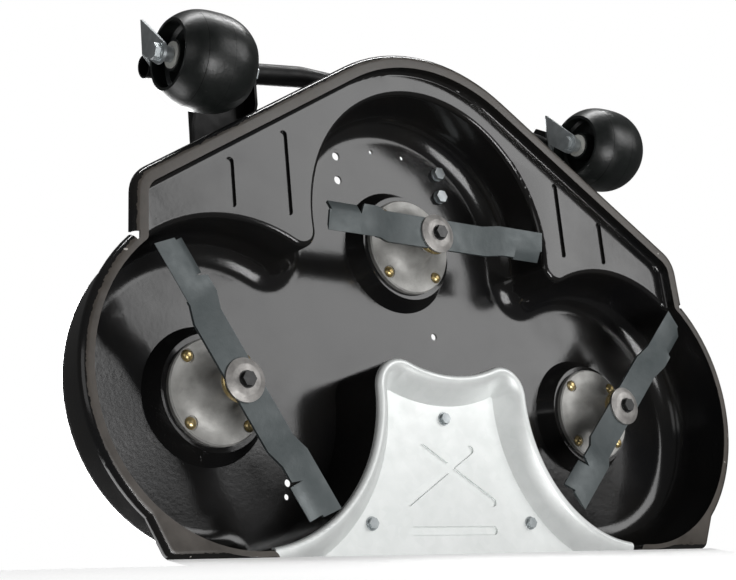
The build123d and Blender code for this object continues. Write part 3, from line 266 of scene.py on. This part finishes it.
def make_material(name):
    """A new material with its node tree and its shader."""
    material = bpy.data.materials.new(name)
    material.use_nodes = True
    tree = material.node_tree
    return material, tree, tree.nodes["Principled BSDF"]


def object_coords(tree):
    """Object coordinates, in metres."""
    return tree.nodes.new("ShaderNodeTexCoord").outputs["Object"]


def noise(tree, scale, detail=4.0, rough=0.55):
    """Noise in object space, from 0 to 1."""
    texture = tree.nodes.new("ShaderNodeTexNoise")
    texture.inputs["Scale"].default_value = scale
    texture.inputs["Detail"].default_value = detail
    texture.inputs["Roughness"].default_value = rough
    tree.links.new(object_coords(tree), texture.inputs["Vector"])
    return texture.outputs["Fac"]


def remap(tree, value, old, new):
    """A value moved from one range to another, clamped."""
    node = tree.nodes.new("ShaderNodeMapRange")
    node.inputs["From Min"].default_value = old[0]
    node.inputs["From Max"].default_value = old[1]
    node.inputs["To Min"].default_value = new[0]
    node.inputs["To Max"].default_value = new[1]
    tree.links.new(value, node.inputs["Value"])
    return node.outputs["Result"]


def below(tree, height, top, fade):
    """1 below a height and 0 above it, with a short fade under it."""
    return remap(tree, height, (top - fade, top), (1.0, 0.0))


def math_node(tree, operation, first, second):
    """Two values joined by a sum, difference or product."""
    node = tree.nodes.new("ShaderNodeMath")
    node.operation = operation
    for socket, value in zip(node.inputs, (first, second)):
        if isinstance(value, float):
            socket.default_value = value
        else:
            tree.links.new(value, socket)
    return node.outputs["Value"]


def mix_colour(tree, factor, first, second):
    """Two colours blended by a factor."""
    node = tree.nodes.new("ShaderNodeMix")
    node.data_type = "RGBA"
    tree.links.new(factor, node.inputs["Factor"])
    for socket, value in ((node.inputs[MIX_FIRST], first), (node.inputs[MIX_SECOND], second)):
        if isinstance(value, tuple):
            socket.default_value = (*value, 1.0)
        else:
            tree.links.new(value, socket)
    return node.outputs[MIX_RESULT]


def add_bump(tree, shader, height, strength, depth):
    """Fine surface relief."""
    node = tree.nodes.new("ShaderNodeBump")
    node.inputs["Strength"].default_value = strength
    node.inputs["Distance"].default_value = depth
    tree.links.new(height, node.inputs["Height"])
    tree.links.new(node.outputs["Normal"], shader.inputs["Normal"])


def surface(name, dark, light, rough, scale, metal=0.0, relief=0.0, shine=0.5):
    """A mottled surface between two colours, with an uneven gloss and a fine relief."""
    material, tree, shader = make_material(name)
    mottle = remap(tree, noise(tree, scale, detail=5.0, rough=0.6), NOISE_SPAN, FULL_SPAN)
    gloss = remap(tree, noise(tree, scale * GLOSS_SCALE, detail=3.0, rough=0.5), NOISE_SPAN, rough)
    tree.links.new(mix_colour(tree, mottle, dark, light), shader.inputs["Base Color"])
    tree.links.new(gloss, shader.inputs["Roughness"])
    shader.inputs["Metallic"].default_value = metal
    shader.inputs["Specular IOR Level"].default_value = shine
    if relief:
        grain = noise(tree, scale * RELIEF_SCALE, detail=4.0, rough=0.6)
        add_bump(tree, shader, grain, RELIEF_STRENGTH, relief)
    return material


def deck_paint():
    """Gloss black paint, rubbed to a brown grey on the flat rim and chipped along its roll."""
    material, tree, shader = make_material("deck_paint")
    split = tree.nodes.new("ShaderNodeSeparateXYZ")
    tree.links.new(object_coords(tree), split.inputs["Vector"])
    height = split.outputs["Z"]
    ragged = noise(tree, RAGGED_SCALE, detail=5.0, rough=0.7)
    shift = remap(tree, ragged, NOISE_SPAN, (-WORN_RAGGED, WORN_RAGGED))
    low = below(tree, math_node(tree, "ADD", height, shift), RIM_Z + WORN_RISE, WORN_FADE)
    patch = remap(tree, noise(tree, RUBBED_SCALE, detail=6.0, rough=0.65), RUBBED_SPAN, RUBBED_SHARE)
    wear = math_node(tree, "MULTIPLY", low, patch)
    near_rim = below(tree, height, RIM_Z + CHIP_RISE, CHIP_FADE)
    chip = remap(tree, noise(tree, CHIP_SCALE, detail=3.0, rough=0.6), CHIP_CUT, FULL_SPAN)
    chips = math_node(tree, "MULTIPLY", near_rim, chip)
    mottle = remap(tree, noise(tree, PAINT_MOTTLE_SCALE, detail=3.0), PAINT_MOTTLE_SPAN, FULL_SPAN)
    paint = mix_colour(tree, mottle, PAINT_DARK, PAINT_LIGHT)
    rubbed = mix_colour(tree, wear, paint, RUBBED)
    gloss = remap(tree, noise(tree, PAINT_GLOSS_SCALE), NOISE_SPAN, PAINT_ROUGH)
    worn = math_node(tree, "MULTIPLY", wear, RUBBED_ROUGH)
    tree.links.new(mix_colour(tree, chips, rubbed, BARE_STEEL), shader.inputs["Base Color"])
    tree.links.new(math_node(tree, "ADD", gloss, worn), shader.inputs["Roughness"])
    add_bump(tree, shader, noise(tree, PEEL_SCALE, detail=2.0), PEEL_STRENGTH, PEEL_DEPTH)
    return material


def galvanised():
    """Pale zinc-coated sheet with a soft spangle."""
    material, tree, shader = make_material("galvanised")
    cells = tree.nodes.new("ShaderNodeTexVoronoi")
    cells.inputs["Scale"].default_value = SPANGLE_SCALE
    tree.links.new(object_coords(tree), cells.inputs["Vector"])
    grey = tree.nodes.new("ShaderNodeRGBToBW")
    tree.links.new(cells.outputs["Color"], grey.inputs["Color"])
    spangle = remap(tree, grey.outputs["Val"], FULL_SPAN, (0.0, SPANGLE_SHARE))
    cloud = remap(tree, noise(tree, CLOUD_SCALE, detail=6.0, rough=0.65), CLOUD_SPAN, (0.0, CLOUD_SHARE))
    blend = math_node(tree, "ADD", spangle, cloud)
    gloss = remap(tree, noise(tree, ZINC_GLOSS_SCALE), NOISE_SPAN, ZINC_ROUGH)
    tree.links.new(mix_colour(tree, blend, ZINC_DARK, ZINC_LIGHT), shader.inputs["Base Color"])
    tree.links.new(gloss, shader.inputs["Roughness"])
    shader.inputs["Metallic"].default_value = ZINC_METAL
    add_bump(tree, shader, noise(tree, SHEET_SCALE, detail=3.0), SHEET_STRENGTH, SHEET_DEPTH)
    return material


def smooth_group():
    """Geometry nodes that weld a node's facets and shade them smooth up to an angle."""
    group = bpy.data.node_groups.new("smooth_facets", "GeometryNodeTree")
    group.interface.new_socket("Geometry", in_out="INPUT", socket_type="NodeSocketGeometry")
    group.interface.new_socket("Geometry", in_out="OUTPUT", socket_type="NodeSocketGeometry")
    start = group.nodes.new("NodeGroupInput")
    end = group.nodes.new("NodeGroupOutput")
    weld = group.nodes.new("GeometryNodeMergeByDistance")
    weld.inputs["Distance"].default_value = MERGE_DISTANCE
    angle = group.nodes.new("GeometryNodeInputMeshEdgeAngle")
    flat = group.nodes.new("FunctionNodeCompare")
    flat.data_type = "FLOAT"
    flat.operation = "LESS_EQUAL"
    flat.inputs["B"].default_value = SMOOTH_ANGLE
    faces = group.nodes.new("GeometryNodeSetShadeSmooth")
    faces.domain = "FACE"
    edges = group.nodes.new("GeometryNodeSetShadeSmooth")
    edges.domain = "EDGE"
    group.links.new(start.outputs[0], weld.inputs["Geometry"])
    group.links.new(weld.outputs["Geometry"], faces.inputs["Geometry"])
    group.links.new(faces.outputs["Geometry"], edges.inputs["Geometry"])
    group.links.new(angle.outputs["Unsigned Angle"], flat.inputs["A"])
    group.links.new(flat.outputs["Result"], edges.inputs["Shade Smooth"])
    group.links.new(edges.outputs["Geometry"], end.inputs[0])
    return group


def dress_nodes(surfaces):
    """Give every node the surface of its slot and smooth shading."""
    group = smooth_group()
    for part in frame["record"]["subparts"]:
        node = nodes[part["node"]]
        node.data.materials.clear()
        node.data.materials.append(surfaces[part["material_slot"]])
        smooth = node.modifiers.new("smooth", "NODES")
        smooth.node_group = group


def place_object(name, data):
    """A new object in the scene, with its mesh, lamp or camera."""
    thing = bpy.data.objects.new(name, data)
    bpy.context.scene.collection.objects.link(thing)
    return thing


def mesh_object(name, corners, faces):
    """A new mesh in the scene."""
    mesh = bpy.data.meshes.new(name)
    mesh.from_pydata(corners, [], faces)
    return place_object(name, mesh)


def skin(name, rings, closed):
    """A smooth round bar over a row of rings of points, joined end to end if it is closed."""
    count = len(rings[0])
    corners = [corner for ring in rings for corner in ring]
    faces = []
    for step in range(len(rings) if closed else len(rings) - 1):
        here = step * count
        there = (step + 1) % len(rings) * count
        for side in range(count):
            after = (side + 1) % count
            faces.append((here + side, there + side, there + after, here + after))
    if not closed:
        faces.append(tuple(range(count)))
        faces.append(tuple(reversed(range(len(corners) - count, len(corners)))))
    bar = mesh_object(name, corners, faces)
    bar.data.polygons.foreach_set("use_smooth", [True] * len(faces))
    return bar


def turns(count):
    """Even angles round a circle."""
    return [math.tau * step / count for step in range(count)]


def weld_bead(name, x, start, end, surfaces):
    """A rippled bead along a welded foot on the deck top."""
    count = round((end - start) / WELD_STEP)
    rings = []
    for step in range(count + 1):
        y = start + (end - start) * step / count
        radius = WELD_R * (1.0 + WELD_RIPPLE * math.sin(math.tau * step / RIPPLE_STEPS))
        if step in (0, count):
            radius = WELD_R / 2
        ring = [(x + radius * math.cos(t), y, WELD_Z + radius * math.sin(t)) for t in turns(WELD_SIDES)]
        rings.append(ring)
    bead = skin(name, rings, False)
    bead.data.materials.append(surfaces["frame_paint"])
    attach(bead, "deck")


def wheel_seam(name, wheel, middle, shift, surfaces):
    """A moulding seam round a wheel, standing a little proud of its tread."""
    half = WHEEL_WIDTH / 2
    tread = WHEEL_R - (WHEEL_R - WHEEL_END_R) * (abs(shift) / half) ** WHEEL_POWER
    rings = []
    for turn in turns(SEAM_STEPS):
        ring = []
        for lean in turns(SEAM_SIDES):
            out = tread - SEAM_SUNK + SEAM_R * math.cos(lean)
            x = middle[0] + shift + SEAM_R * math.sin(lean)
            ring.append((x, middle[1] + out * math.cos(turn), middle[2] + out * math.sin(turn)))
        rings.append(ring)
    seam = skin(name, rings, True)
    seam.data.materials.append(surfaces["wheel_seam"])
    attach(seam, wheel)


def add_details(surfaces):
    """Weld beads at the feet on the deck top, and the seams of the wheels."""
    for count, (x, start, end) in enumerate(WELDS):
        weld_bead(f"weld_{count + 1}", x, start, end, surfaces)
    for side, name in ((1, "left"), (-1, "right")):
        middle = (side * WHEEL_PLACE[0], WHEEL_PLACE[1], WHEEL_PLACE[2])
        for count, shift in enumerate(SEAM_SHIFTS):
            wheel_seam(f"wheel_seam_{name}_{count + 1}", f"wheel_{name}", middle, shift, surfaces)


def floor_material(name, glow):
    """White floor that only the camera sees, from its upper side, so that light passes it."""
    material, tree, white = make_material(name)
    white.inputs["Base Color"].default_value = (FLOOR_TONE, FLOOR_TONE, FLOOR_TONE, 1.0)
    white.inputs["Roughness"].default_value = FLOOR_ROUGH
    white.inputs["Specular IOR Level"].default_value = 0.0
    white.inputs["Emission Color"].default_value = WHITE
    white.inputs["Emission Strength"].default_value = glow
    path = tree.nodes.new("ShaderNodeLightPath")
    geometry = tree.nodes.new("ShaderNodeNewGeometry")
    clear = tree.nodes.new("ShaderNodeBsdfTransparent")
    front = math_node(tree, "SUBTRACT", 1.0, geometry.outputs["Backfacing"])
    seen = math_node(tree, "MULTIPLY", path.outputs["Is Camera Ray"], front)
    mix = tree.nodes.new("ShaderNodeMixShader")
    tree.links.new(seen, mix.inputs["Fac"])
    tree.links.new(clear.outputs["BSDF"], mix.inputs[1])
    tree.links.new(white.outputs["BSDF"], mix.inputs[2])
    tree.links.new(mix.outputs["Shader"], tree.nodes["Material Output"].inputs["Surface"])
    return material


def build_stage():
    """A ground floor for the views from above, and the photograph's leaning floor behind the rear edge."""
    half = FLOOR_SIZE / 2
    square = [(-half, -half, 0), (half, -half, 0), (half, half, 0), (-half, half, 0)]
    ground = mesh_object("ground", square, [(0, 1, 2, 3)])
    rear = cad_box[1].y
    foot_y = rear + RIM_Z * math.tan(SHADE_LEAN)
    far_y = rear + SHADE_DEPTH * math.sin(SHADE_LEAN)
    far_z = RIM_Z - SHADE_DEPTH * math.cos(SHADE_LEAN)
    corners = [(-CONTACT_HALF, rear, RIM_Z), (CONTACT_HALF, rear, RIM_Z)]
    corners += [(CONTACT_HALF, foot_y, 0), (-CONTACT_HALF, foot_y, 0)]
    corners += [(-half, foot_y, 0), (half, foot_y, 0), (half, far_y, far_z), (-half, far_y, far_z)]
    shade = mesh_object("shade_floor", corners, [(0, 3, 2, 1), (4, 7, 6, 5)])
    ground.data.materials.append(floor_material("ground_white", 0.0))
    shade.data.materials.append(floor_material("shade_white", SHADE_GLOW))


def aim(thing, direction):
    """Turn a lamp to face a direction."""
    thing.rotation_mode = "QUATERNION"
    thing.rotation_quaternion = Vector(direction).to_track_quat("-Z", "Y")


def softbox(name, place, target, width, height, power):
    """A large soft lamp that faces a point."""
    lamp = bpy.data.lights.new(name, "AREA")
    lamp.shape = "RECTANGLE"
    lamp.size = width
    lamp.size_y = height
    lamp.energy = power
    thing = place_object(name, lamp)
    thing.location = place
    thing.visible_camera = False
    aim(thing, Vector(target) - Vector(place))


def overhead():
    """An even wide light from above, which whitens the whole ground floor."""
    lamp = bpy.data.lights.new("above", "SUN")
    lamp.energy = OVERHEAD_POWER
    lamp.angle = OVERHEAD_SPREAD
    aim(place_object("above", lamp), OVERHEAD_LEAN)


def build_light():
    """Soft studio light: from below for the chamber, ahead for the rim and above for the deck top."""
    for name, values in SOFTBOXES.items():
        softbox(name, *values)
    overhead()


def background(tree, strength):
    """A white background of some strength."""
    node = tree.nodes.new("ShaderNodeBackground")
    node.inputs["Color"].default_value = WHITE
    node.inputs["Strength"].default_value = strength
    return node.outputs["Background"]


def build_world():
    """White to the camera and a dark studio to everything else."""
    world = bpy.data.worlds.new("studio")
    bpy.context.scene.world = world
    world.use_nodes = True
    tree = world.node_tree
    tree.nodes.clear()
    path = tree.nodes.new("ShaderNodeLightPath")
    mix = tree.nodes.new("ShaderNodeMixShader")
    out = tree.nodes.new("ShaderNodeOutputWorld")
    tree.links.new(path.outputs["Is Camera Ray"], mix.inputs["Fac"])
    tree.links.new(background(tree, STUDIO_STRENGTH), mix.inputs[1])
    tree.links.new(background(tree, 1.0), mix.inputs[2])
    tree.links.new(mix.outputs["Shader"], out.inputs["Surface"])


def build_camera():
    """The photograph's camera, below the deck and to its right."""
    data = bpy.data.cameras.new("camera")
    data.sensor_width = SENSOR_WIDTH
    data.lens = CAMERA_LENS
    camera = place_object("camera", data)
    turn = (
        Matrix.Rotation(CAMERA_ROLL, 3, "Z")
        @ Matrix.Rotation(CAMERA_PITCH, 3, "X")
        @ Matrix.Rotation(CAMERA_YAW, 3, "Y")
    )
    facing = turn.transposed() @ Matrix.Diagonal((1.0, -1.0, -1.0))
    camera.matrix_world = Matrix.Translation(CAMERA_PLACE) @ facing.to_4x4()
    bpy.context.scene.camera = camera


surfaces = {name: surface(name, **finish) for name, finish in FINISHES.items()}
surfaces["deck_paint"] = deck_paint()
surfaces["galvanised"] = galvanised()
dress_nodes(surfaces)
add_details(surfaces)
build_stage()
build_light()
build_world()
build_camera()
bpy.context.scene.view_settings.view_transform = "Standard"
